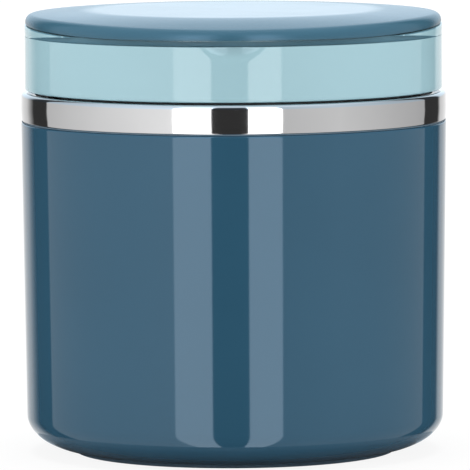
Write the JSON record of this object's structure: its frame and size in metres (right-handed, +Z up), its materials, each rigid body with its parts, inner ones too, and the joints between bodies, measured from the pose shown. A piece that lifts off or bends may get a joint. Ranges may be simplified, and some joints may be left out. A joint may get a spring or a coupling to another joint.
{
  "type": "insulated food jar",
  "caption": "Vacuum insulated food jar with a screw lid; a hinged cover on the lid, lifted by a finger groove, closes a shallow compartment",
  "frame": {"origin": "Centre of the foot pad's underside, on the table, on the jar's axis", "axes": "+Z up along the jar's axis; -Y is the front, with the finger groove; +Y is the back, with the cover's hinge; +X is to the right seen from the front"},
  "size_m": [0.11, 0.11, 0.1146],
  "materials": {
    "jacket_blue": "gloss petrol blue",
    "cover_blue": "satin gloss petrol blue",
    "lid_aqua": "gloss pale aqua",
    "polished_steel": "polished",
    "flask_steel": "fine brushed",
    "neck_plastic": "matt grey",
    "core_plastic": "satin light grey",
    "foot_rubber": "matt black",
    "gasket_rubber": "matt dark",
    "silicone": "translucent white",
    "foam": "open foam",
    "copper_foil": "bright foil",
    "getter_grey": "sintered grey"
  },
  "bodies": {
    "jar": {"outer_jacket": "jacket_blue", "foot_pad": "foot_rubber", "base_plate": "neck_plastic", "flask_cushion": "gasket_rubber", "flask_outer_wall": "flask_steel", "flask_liner": "flask_steel", "flask_bottom": "flask_steel", "vacuum_plug": "getter_grey", "getter": "getter_grey", "radiation_foil": "copper_foil", "jacket_gasket": "gasket_rubber", "steel_collar": "polished_steel", "neck_ring": "neck_plastic"},
    "seal": {"main_seal": "silicone"},
    "lid": {"lid_shell": "lid_aqua", "lid_core": "core_plastic", "lid_insulation": "foam", "hinge_pin": "flask_steel"},
    "cover": {"flip_cover": "cover_blue", "cover_inner": "core_plastic", "cover_seal": "silicone"}
  },
  "joints": [
    {"name": "lid_rise", "type": "slide", "parent": "jar", "child": "seal", "axis": [0, 0, 1], "range_m": [0, 0.0241]},
    {"name": "lid_turn", "type": "hinge", "parent": "seal", "child": "lid", "pos_m": [0, 0, 0.1015], "axis": [0, 0, 1], "range_deg": [0, 720]},
    {"name": "cover_hinge", "type": "hinge", "parent": "lid", "child": "cover", "pos_m": [0, 0.0515, 0.111], "axis": [-1, 0, 0], "range_deg": [0, 110]}
  ],
  "couplings": [
    {"joint": "lid_rise", "follows": "lid_turn", "m_per_rad": 0.0019099}
  ]
}
